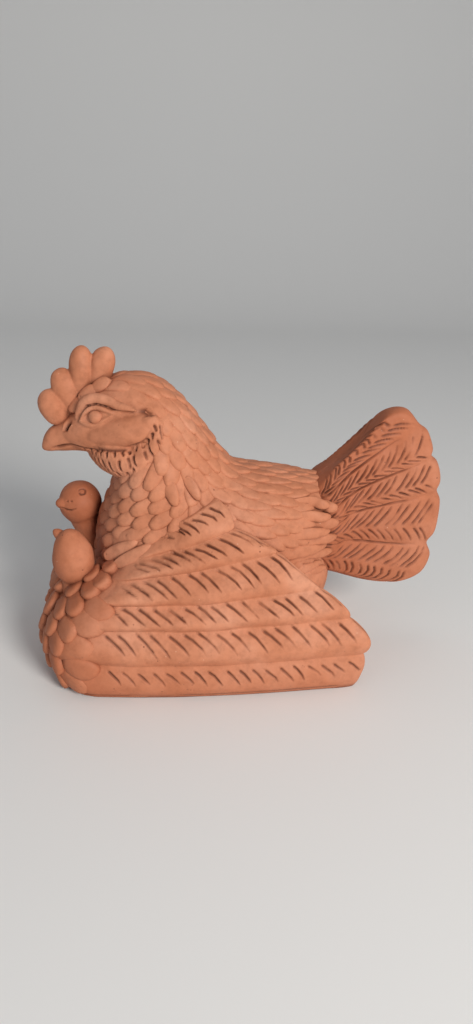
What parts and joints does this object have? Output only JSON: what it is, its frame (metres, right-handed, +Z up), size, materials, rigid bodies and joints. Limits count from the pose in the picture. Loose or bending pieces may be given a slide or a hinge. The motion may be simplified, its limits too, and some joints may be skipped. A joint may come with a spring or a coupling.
{
  "type": "hen figurine",
  "caption": "Brooding hen figurine in plain fired clay, with applied feather scales, lobed wings, a fan tail and chick heads at its breast; it stands on its flat base.",
  "frame": {"origin": "on the middle line of the flat base, under the body, where the figurine stands", "axes": "+Z up; the hen looks along -X and its tail points along +X; the side seen in the picture is -Y"},
  "size_m": [0.2079, 0.1156, 0.1578],
  "materials": {
    "terracotta": "matte"
  },
  "bodies": {
    "root": {"hen_figurine": "terracotta"}
  },
  "joints": []
}
